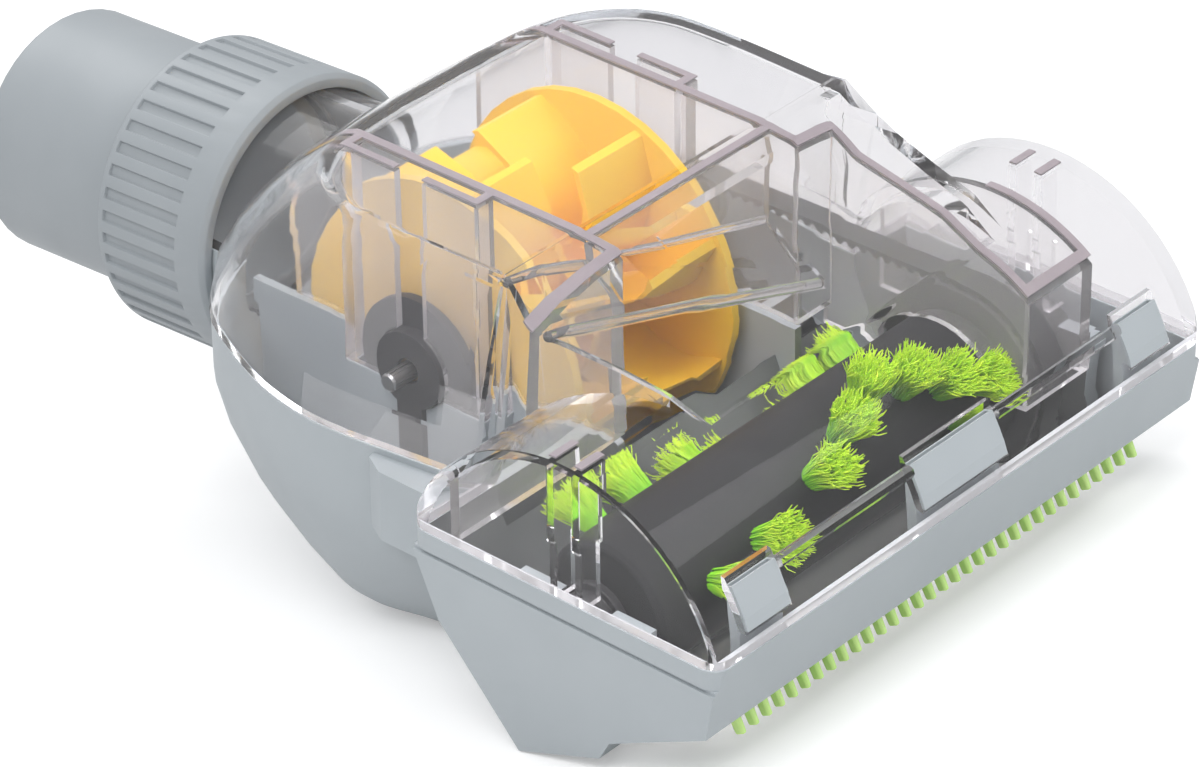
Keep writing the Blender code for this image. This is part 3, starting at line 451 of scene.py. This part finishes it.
cover = {
    "edge": 0.3, "levelWalls": 0.985, "wallEnd": 2.6, "innerHalf": 47, "innerFront": -17.9, "innerRear": 90,
    "domeFront": 33.5, "flangeTop": 1.7, "flankTurn": 0.3,
}
skinSlot, wallSlot, edgeShadeSlot, domeSlot, flangeSlot, flankShadeSlot = range(6)
clearShell = cleanCopy("top_cover", "clearShell")
carve(clearShell, cornerCutter())
sharpen(clearShell)
dress(clearShell, clearSkin, clearWall, clearEdgeShade, clearDome, clearFlange, clearFlankShade)
shellSpots = [worldToRim @ vert.co / mm for vert in clearShell.data.vertices]
for face in clearShell.data.polygons:
    middle = worldToRim @ face.center / mm
    normal = turnBack @ face.normal
    upright = max(abs(normal.x), abs(normal.y)) > cover["levelWalls"]
    inside = abs(middle.x) < cover["innerHalf"] and cover["innerFront"] < middle.y < cover["innerRear"]
    spots = [shellSpots[index] for index in face.vertices]
    widest = max(max(spot[axis] for spot in spots) - min(spot[axis] for spot in spots) for axis in (0, 1))
    # narrow wall ends take the painted edge shade
    if upright and inside:
        face.material_index = edgeShadeSlot if widest < cover["wallEnd"] else wallSlot
    elif middle.z < cover["flangeTop"] and middle.y < cover["domeFront"]:
        face.material_index = flangeSlot
    # outward faces on the right flank take the painted flank shade
    elif middle.x > 0 and normal.x > cover["flankTurn"]:
        face.material_index = flankShadeSlot
    else:
        face.material_index = domeSlot if middle.y > cover["domeFront"] else skinSlot
# the new bevel faces take the painted edge shade
roundEdges(clearShell, cover["edge"], slot=edgeShadeSlot)
for face in clearShell.data.polygons:
    if face.material_index == wallSlot:
        face.use_smooth = False
evenNormals(clearShell)
takeOver(clearShell, "top_cover")
print("cover ready")

# Seen through the skin, each wall shows its thickness as a dusky line where it meets the skin.
# Here that line is painted shade: a narrow dusky strip laid on the cover from above, then sunk into it.
wallShadeLines = {
    "sink": 0.5, "thickness": 0.5, "cell": 1.6, "fewestCells": 2, "above": 60,
    "strips": [
        # left, right, front, rear, in millimetres from the rim's middle
        (-22.6, -21.0, 21.4, 86.0),
        (21.0, 22.6, 21.4, 86.0),
        (-21.0, 21.0, 27.2, 28.8),
        (-41.5, -21.0, 21.4, 23.2),
        (21.0, 30.5, 21.4, 23.2),
        (29.5, 31.0, -18.0, 23.0),
        (44.4, 45.9, -18.0, 2.0),
        (29.5, 45.9, -18.0, -16.5),
        (-26.2, -24.9, 46.4, 58.1),
        (-26.2, -24.9, 63.9, 75.6),
        (24.9, 26.2, 46.4, 58.1),
        (24.9, 26.2, 63.9, 75.6),
        (-24.9, -22.6, 46.4, 47.9),
        (-24.9, -22.6, 74.1, 75.6),
        (22.6, 24.9, 46.4, 47.9),
        (22.6, 24.9, 74.1, 75.6),
        (-58.0, -52.8, -2.7, -1.3),
        (-58.0, -52.8, 2.3, 3.7),
        (52.8, 58.0, -2.7, -1.3),
        (52.8, 58.0, 2.3, 3.7),
    ],
}
strips = []
for left, right, front, rear in wallShadeLines["strips"]:
    across = max(wallShadeLines["fewestCells"], round((right - left) / wallShadeLines["cell"]))
    along = max(wallShadeLines["fewestCells"], round((rear - front) / wallShadeLines["cell"]))
    clearSelection()
    bpy.ops.mesh.primitive_grid_add(x_subdivisions=across, y_subdivisions=along, size=1)
    strip = newPiece("strip")
    strip.data.transform(Matrix.Diagonal(((right - left) * mm, (rear - front) * mm, 1, 1)))
    middle = Vector(((left + right) / 2, (front + rear) / 2, wallShadeLines["above"]))
    strip.data.transform(Matrix.Translation(middle * mm))
    strip.matrix_world = rimToWorld
    lay = strip.modifiers.new("lay", "SHRINKWRAP")
    lay.target = clearShell
    lay.wrap_method = "PROJECT"
    lay.use_project_z = True
    lay.use_negative_direction = True
    lay.use_positive_direction = False
    applyAll(strip)
    strip.data.transform(Matrix.Translation((0, 0, -wallShadeLines["sink"] * mm)))
    strips.append(strip)
coverShadeLines = joinPieces(strips, "coverShadeLines")
coverShadeLines.data.transform(coverShadeLines.matrix_world)
coverShadeLines.matrix_world = Matrix.Identity(4)
thicken = coverShadeLines.modifiers.new("thicken", "SOLIDIFY")
thicken.thickness = wallShadeLines["thickness"] * mm
thicken.offset = -1
applyAll(coverShadeLines)
sharpen(coverShadeLines)
dress(coverShadeLines, wallShadeLine)
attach(coverShadeLines, "housing")
print("cover lines ready")

# The slanted ramp under the cover has full round edges, which catch the light as rods.
rampRods = {
    "radius": 0.85, "sides": 20, "edge": 0.3, "edgeSteps": 3, "sharp": 60,
    "lines": [((-40.8, 19.2, 28.8), (24.0, 19.2, 7.4)), ((-39.6, 28.2, 34.3), (21.0, 28.2, 16.7))],
}
rods = []
for line in rampRods["lines"]:
    start, end = [Vector(point) * mm for point in line]
    half = (end - start).length / 2
    rod = addBar("rod", rampRods["sides"], rampRods["radius"] * mm, -half, half)
    roundEdges(rod, rampRods["edge"], rampRods["sharp"], rampRods["edgeSteps"])
    along = (end - start).to_track_quat("Z", "Y").to_matrix().to_4x4()
    setDown(rod, rimToWorld @ Matrix.Translation((start + end) / 2) @ along)
    rods.append(rod)
rampEdges = joinPieces(rods, "rampEdges")
sharpen(rampEdges, rampRods["sharp"])
dress(rampEdges, clearRod)
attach(rampEdges, "housing")
print("ramp edges ready")

# locking ring with its grip grooves

ring = {
    "radius": 25.7, "length": 25.0, "band": 6.5, "grooves": 40, "facets": 4, "cut": 2, "depth": 0.7,
    "grooveTaper": 0.12, "grooveStop": 1.6, "frontLip": 0.8, "rearLip": 0.7, "frontBore": 23.3, "rearBore": 21.8,
    "shoulder": 21.0, "edge": 0.14, "edgeAngle": 32, "sharp": 35, "nearLevel": 0.001, "nearRadius": 0.12,
}
ringFacets = ring["grooves"] * ring["facets"]
grooveEnd = ring["length"] - ring["grooveStop"]
lockingRing = addBar("lockingRing", ringFacets, ring["radius"] * mm, 0, ring["length"] * mm, "NOTHING")
editOn(lockingRing)
cutAcross([level * mm for level in (ring["frontLip"], ring["band"], grooveEnd, ring["length"] - ring["rearLip"])])


def grooveFace(face):
    # the first facets of each groove's share, whose middles lie half a facet on
    middle = face.calc_center_median()
    turn = math.atan2(middle.y, middle.x) / (2 * math.pi) * ringFacets
    inBand = ring["band"] < middle.z / mm < grooveEnd
    return inBand and round(turn - 0.5) % ring["facets"] < ring["cut"]


pick(lockingRing, "faces", grooveFace)
bpy.ops.mesh.inset(thickness=ring["grooveTaper"] * mm, depth=-ring["depth"] * mm, use_individual=False)
editOff()


def editLoop(level, radius):
    # opens the ring for editing with its open edge loop at this level and radius picked
    def onLoop(vert):
        return (abs(vert.co.z - level * mm) < ring["nearLevel"] * mm
                and abs(vert.co.to_2d().length - radius * mm) < ring["nearRadius"] * mm)

    editOn(lockingRing, "EDGE")
    pick(lockingRing, "edges", lambda edge: edge.is_boundary and all(onLoop(vert) for vert in edge.verts))


def scaleLoop(level, wasRadius, radius, extrude=False):
    # takes a loop in, on itself or as a new band
    editLoop(level, wasRadius)
    if extrude:
        bpy.ops.mesh.extrude_edges_move()
    resizeFlat(radius / wasRadius)
    editOff()


def sinkLoop(level, radius, reach):
    # draws a loop along the ring as a new band
    editLoop(level, radius)
    bpy.ops.mesh.extrude_edges_move()
    bpy.ops.transform.translate(value=(0, 0, reach * mm))
    editOff()


frontRadius, rearRadius = ring["radius"] - ring["frontLip"], ring["radius"] - ring["rearLip"]
scaleLoop(0, ring["radius"], frontRadius)
scaleLoop(ring["length"], ring["radius"], rearRadius)
scaleLoop(0, frontRadius, ring["frontBore"], True)
scaleLoop(ring["length"], rearRadius, ring["rearBore"], True)
sinkLoop(0, ring["frontBore"], ring["shoulder"])
sinkLoop(ring["length"], ring["rearBore"], ring["shoulder"] - ring["length"])
editOn(lockingRing, "EDGE")
pick(lockingRing, "edges", lambda edge: edge.is_boundary)
bpy.ops.mesh.bridge_edge_loops()
editOff()
faceOut(lockingRing)
roundEdges(lockingRing, ring["edge"], ring["edgeAngle"])
sharpen(lockingRing, ring["sharp"])
setDown(lockingRing, tubeToWorld)
dress(lockingRing, ringPlastic)
takeOver(lockingRing, "locking_ring")
print("locking ring ready")

# turbine

wheel = {"edge": 0.25, "sharp": 40}
turbineWheel = cleanCopy("turbine_rotor", "turbineWheel")
roundEdges(turbineWheel, wheel["edge"], wheel["sharp"])
evenNormals(turbineWheel)
dress(turbineWheel, yellowPlastic)
takeOver(turbineWheel, "turbine_rotor")

# splined ends of the turbine's pin

pin = {
    "radius": 1.6, "left": -31.8, "right": 43.6, "splines": 14, "splineLength": 5.5, "taper": 0.03, "depth": 0.28,
    "tip": 0.35, "tipShare": 0.8, "sideFaces": 0.5, "endFaces": 0.9, "sharp": 30,
}
turbinePin = addBar("turbinePin", pin["splines"] * 2, pin["radius"] * mm, pin["left"] * mm, pin["right"] * mm)
editOn(turbinePin)
pinLevels = (pin["left"] + pin["tip"], pin["left"] + pin["splineLength"],
             pin["right"] - pin["splineLength"], pin["right"] - pin["tip"])
cutAcross([level * mm for level in pinLevels])


def splineGap(face):
    # every second side face of the two splined ends
    middle = face.calc_center_median()
    fromEnd = min(middle.z / mm - pin["left"], pin["right"] - middle.z / mm)
    turn = math.atan2(middle.y, middle.x) / math.pi * pin["splines"]
    onSide = abs(face.normal.z) < pin["sideFaces"] and pin["tip"] < fromEnd < pin["splineLength"]
    return onSide and round(turn - 0.5) % 2 == 0


def pinEnd(face):
    return abs(face.normal.z) > pin["endFaces"] and len(face.verts) == pin["splines"] * 2


pick(turbinePin, "faces", splineGap)
bpy.ops.mesh.inset(thickness=pin["taper"] * mm, depth=-pin["depth"] * mm, use_individual=True)
pick(turbinePin, "faces", pinEnd)
resizeFlat(pin["tipShare"])
editOff()
faceOut(turbinePin)
sharpen(turbinePin, pin["sharp"])
setDown(turbinePin, turbineToWorld)
dress(turbinePin, steel)
takeOver(turbinePin, "turbine_shaft")
print("turbine ready")

# pieces that keep the shape of their node, with softened edges

plainPieces = {
    # node: (piece, surface, slot, edge)
    "connector_tube": ("hoseTube", ringPlastic, "ring_plastic", 0.3),
    "neck_seal": ("neckSeal", darkRubber, "dark_rubber", 0.3),
    "bearing_holder_left": ("holderLeft", blackPlastic, "black_plastic", 0.3),
    "bearing_holder_right": ("holderRight", blackPlastic, "black_plastic", 0.3),
    "turbine_bearing_left": ("bearingLeft", bronze, "bronze", 0.15),
    "turbine_bearing_right": ("bearingRight", bronze, "bronze", 0.15),
    "brush_bearing_left": ("bushLeft", blackPlastic, "black_plastic", 0.2),
    "brush_bearing_right": ("bushRight", blackPlastic, "black_plastic", 0.2),
    "turbine_pulley": ("smallPulley", blackPlastic, "black_plastic", 0.15),
    "brush_pulley": ("largePulley", blackPlastic, "black_plastic", 0.15),
    "brush_roller": ("rollerBody", rollerPlastic, "black_plastic", 0.3),
    "brush_axle": ("rollerPin", steel, "steel", 0.2),
    "comb_strip": ("combStrip", combGreen, "green_rubber", 0.35),
}
for node, (pieceName, surface, slotName, edge) in plainPieces.items():
    piece = cleanCopy(node, pieceName)
    roundEdges(piece, edge)
    evenNormals(piece)
    dress(piece, surface)
    takeOver(piece, node)
print("plain pieces ready")

# toothed belt: a flat ring of three levels, then led around both pulleys

belt = {
    "middle": 39.6, "width": 4.6, "teeth": 79, "stepsPerTooth": 4, "toothSteps": 2, "outside": 1.5, "groove": 0.75,
    "large": (*rollerSpot, 14.5), "small": (*turbineSpot, 6.3), "pitchLine": 0.75, "sharp": 35,
}
beltSteps = belt["teeth"] * belt["stepsPerTooth"]
flatOuter, flatInner = 2, 1
clearSelection()
bpy.ops.mesh.primitive_circle_add(vertices=beltSteps, radius=flatOuter)
toothedBelt = newPiece("toothedBelt")
editOn(toothedBelt, "EDGE")
bpy.ops.mesh.select_all(action="SELECT")
bpy.ops.mesh.extrude_edges_move()
resizeFlat(flatInner / flatOuter)
bpy.ops.mesh.select_all(action="SELECT")
bpy.ops.mesh.extrude_region_move()
bpy.ops.transform.translate(value=(0, 0, belt["width"]))
editOff()


def beltSpot(share, out):
    # a point of the belt's loop, at a share of its length and a distance out from the pulleys
    (y1, z1, r1), (y2, z2, r2) = belt["large"], belt["small"]
    apart = math.hypot(y2 - y1, z2 - z1)
    heading, lean = math.atan2(z2 - z1, y2 - y1), math.acos((r1 - r2) / apart)
    straight = math.sqrt(apart ** 2 - (r1 - r2) ** 2)
    arcs = [(r1 + belt["pitchLine"]) * 2 * (math.pi - lean), (r2 + belt["pitchLine"]) * 2 * lean]
    along = share * (sum(arcs) + 2 * straight)
    angles = (heading + lean, heading - lean)
    if along > arcs[0] + straight + arcs[1]:
        part, angle = (along - arcs[0] - straight - arcs[1]) / straight, angles[0]
        ends = (y2, z2, r2), (y1, z1, r1)
    elif along > arcs[0] + straight:
        part, angle = 0, angles[1] + (along - arcs[0] - straight) / (r2 + belt["pitchLine"])
        ends = (y2, z2, r2), (y2, z2, r2)
    elif along > arcs[0]:
        part, angle = (along - arcs[0]) / straight, angles[1]
        ends = (y1, z1, r1), (y2, z2, r2)
    else:
        part, angle = 0, angles[0] + along / (r1 + belt["pitchLine"])
        ends = (y1, z1, r1), (y1, z1, r1)
    y, z, radius = [first + (second - first) * part for first, second in zip(*ends)]
    return y + (radius + out) * math.cos(angle), z + (radius + out) * math.sin(angle)


for vert in toothedBelt.data.vertices:
    number = round(math.atan2(vert.co.y, vert.co.x) / (2 * math.pi) * beltSteps) % beltSteps
    if vert.co.to_2d().length > (flatOuter + flatInner) / 2:
        out = belt["outside"]
    else:
        out = belt["groove"] if number % belt["stepsPerTooth"] < belt["toothSteps"] else 0
    y, z = beltSpot(number / beltSteps, out)
    vert.co = Vector((belt["middle"] - belt["width"] / 2 + vert.co.z, y, z)) * mm
setDown(toothedBelt, rimToWorld)
faceOut(toothedBelt)
sharpen(toothedBelt, belt["sharp"])
dress(toothedBelt, darkRubber)
takeOver(toothedBelt, "drive_belt")
print("belt ready")

# bristles: one hair is modelled, then many copies of it fan out from each root

bristle = {
    "hairs": 330, "hairRadius": 0.115, "hairSides": 4, "hairLevels": (0.3, 0.55, 0.75, 0.9), "tipShare": 0.55,
    "rootRadius": 1.9, "fan": 4.3, "fanRange": (0.75, 1.12), "fanBend": 1.25,
    "length": 9.4, "lengthRange": (0.84, 1.0), "tameLength": 0.97, "start": 11.6,
    "stray": 0.2, "strayCurl": 2.2, "curl": 0.7, "curlRange": (0.3, 1.0), "curlBend": 1.5,
    "fullTurn": 6.28, "turnRange": (0.5, 1.3), "endFaces": 0.9, "sharp": 50,
    # share of the row's length, and angle on the roller, of each tuft
    "rows": [(1.0, 36), (0.915, 46), (0.829, 61), (0.729, 71), (0.617, 58), (0.497, 43), (0.298, 27), (0.153, 19)],
    "rowAngles": (0, 138), "rowEnds": (-49.5, 25.9), "rowSeeds": 20, "wall": 28.6, "wallPress": 1,
}
hair = addBar("hair", bristle["hairSides"], bristle["hairRadius"], 0, 1)
editOn(hair)
cutAcross(bristle["hairLevels"])
pick(hair, "faces", lambda face: face.normal.z > bristle["endFaces"])
resizeFlat(bristle["tipShare"], 1)
editOff()


def around(angle):
    return Vector((math.cos(angle), math.sin(angle), 0))


def growTuft(pieceName, x, angle, seed):
    rng = random.Random(seed)
    bundle = bmesh.new()
    for number in range(bristle["hairs"]):
        turn = rng.uniform(0, 2 * math.pi)
        out = math.sqrt(rng.random())
        stray = rng.random() < bristle["stray"]
        lean = (bristle["fan"] - bristle["rootRadius"]) * out * rng.uniform(*bristle["fanRange"])
        length = bristle["length"] * rng.uniform(*bristle["lengthRange"]) * (1.0 if stray else bristle["tameLength"])
        curl = bristle["curl"] * rng.uniform(*bristle["curlRange"]) * (bristle["strayCurl"] if stray else 1.0)
        phase, turns = rng.uniform(0, bristle["fullTurn"]), rng.uniform(*bristle["turnRange"])
        root = around(turn) * out * bristle["rootRadius"]
        spread = around(turn) * lean
        count = len(bundle.verts)
        bundle.from_mesh(hair.data)
        bundle.verts.ensure_lookup_table()
        for vert in bundle.verts[count:]:
            share = vert.co.z
            sway = around(phase + turns * bristle["fullTurn"] * share) * curl * share ** bristle["curlBend"]
            fanned = spread * share ** bristle["fanBend"]
            vert.co = root + fanned + sway + Vector((vert.co.x, vert.co.y, length * share))
    mesh = bpy.data.meshes.new(pieceName)
    bundle.to_mesh(mesh)
    bundle.free()
    tuft = bpy.data.objects.new(pieceName, mesh)
    bpy.context.scene.collection.objects.link(tuft)
    stand = Matrix.Rotation(math.pi / 2 - angle, 4, "X") @ Matrix.Translation((0, 0, bristle["start"]))
    mesh.transform(Matrix.Translation((x, *rollerSpot)) @ stand)
    wall, press = bristle["wall"], bristle["wallPress"]
    for vert in mesh.vertices:
        # the tuft next to the belt housing presses against its wall
        if vert.co.x > wall - press:
            vert.co.x = wall - press * math.exp((wall - press - vert.co.x) / press)
    mesh.transform(rimToWorld @ Matrix.Diagonal((mm, mm, mm, 1)))
    sharpen(tuft, bristle["sharp"])
    return tuft


rowStart, rowEnd = bristle["rowEnds"]
for row, offset in enumerate(bristle["rowAngles"]):
    for number, (share, angle) in enumerate(bristle["rows"]):
        name = "%d_%d" % (row + 1, number + 1)
        x = rowStart + share * (rowEnd - rowStart)
        seed = row * bristle["rowSeeds"] + number
        tuft = growTuft("bristles_" + name, x, math.radians(angle + offset), seed)
        dress(tuft, bristleGreen)
        takeOver(tuft, "tuft_" + name)
bpy.data.objects.remove(hair, do_unlink=True)
print("bristles ready")

# camera, light and floor

cameraPlace = {
    "location": (-0.5579, -0.61849, 0.37777), "turn": (66.47, 11.062, -47.892),
    "lens": 165.12, "sensor": 36, "clipStart": 0.05,
}
eye = bpy.data.objects.new("camera", bpy.data.cameras.new("camera"))
bpy.context.scene.collection.objects.link(eye)
eye.location = cameraPlace["location"]
eye.rotation_euler = [math.radians(angle) for angle in cameraPlace["turn"]]
eye.data.lens = cameraPlace["lens"]
eye.data.sensor_width = cameraPlace["sensor"]
eye.data.clip_start = cameraPlace["clipStart"]
bpy.context.scene.camera = eye

studio = {
    "floorSize": 6.0, "floorDrop": 0.0002, "floorTone": 0.78, "floorGlow": 0.3,
    "worldColour": (0.96, 0.975, 1.0), "worldStrength": 0.6, "clearLayers": 48,
    "lamps": [
        # place, size, power, whether the clear plastic mirrors it
        ((-0.7, -0.4, 1.1), 0.9, 9.0, False),
        ((0.6, -1.0, 0.9), 0.8, 6.0, False),
        ((0.3, 0.9, 1.2), 0.9, 6.0, True),
    ],
}
clearSelection()
bpy.ops.mesh.primitive_plane_add(size=studio["floorSize"], location=(0, 0, -studio["floorDrop"]))
floor = newPiece("studioFloor")
floorPaint = bpy.data.materials.new("studioFloor")
floorPaint.use_nodes = True
tree, links = floorPaint.node_tree.nodes, floorPaint.node_tree.links
tree.clear()
paint = tree.new("ShaderNodeBsdfDiffuse")
paint.inputs["Color"].default_value = (*[studio["floorTone"]] * 3, 1)
# the camera alone sees the floor glow a little, which makes the background white
glow = tree.new("ShaderNodeEmission")
rays = tree.new("ShaderNodeLightPath")
level = tree.new("ShaderNodeMath")
level.operation = "MULTIPLY"
level.inputs[1].default_value = studio["floorGlow"]
both = tree.new("ShaderNodeAddShader")
surfaceEnd = tree.new("ShaderNodeOutputMaterial")
links.new(rays.outputs["Is Camera Ray"], level.inputs[0])
links.new(level.outputs[0], glow.inputs["Strength"])
links.new(paint.outputs[0], both.inputs[0])
links.new(glow.outputs[0], both.inputs[1])
links.new(both.outputs[0], surfaceEnd.inputs["Surface"])
floor.data.materials.append(floorPaint)

sky = bpy.data.worlds.new("studioSky")
bpy.context.scene.world = sky
sky.use_nodes = True
skyGlow = sky.node_tree.nodes["Background"]
skyGlow.inputs["Color"].default_value = (*studio["worldColour"], 1)
skyGlow.inputs["Strength"].default_value = studio["worldStrength"]
for number, (place, size, power, mirrored) in enumerate(studio["lamps"]):
    lamp = bpy.data.objects.new("lamp%d" % (number + 1), bpy.data.lights.new("lamp", "AREA"))
    bpy.context.scene.collection.objects.link(lamp)
    lamp.location = place
    lamp.rotation_euler = (-Vector(place)).to_track_quat("-Z", "Y").to_euler()
    lamp.data.shape = "DISK"
    lamp.data.size = size
    lamp.data.energy = power
    lamp.visible_glossy = mirrored
bpy.context.scene.cycles.transparent_max_bounces = studio["clearLayers"]
bpy.context.scene.view_settings.view_transform = "Standard"
print("camera, lamps and floor ready")
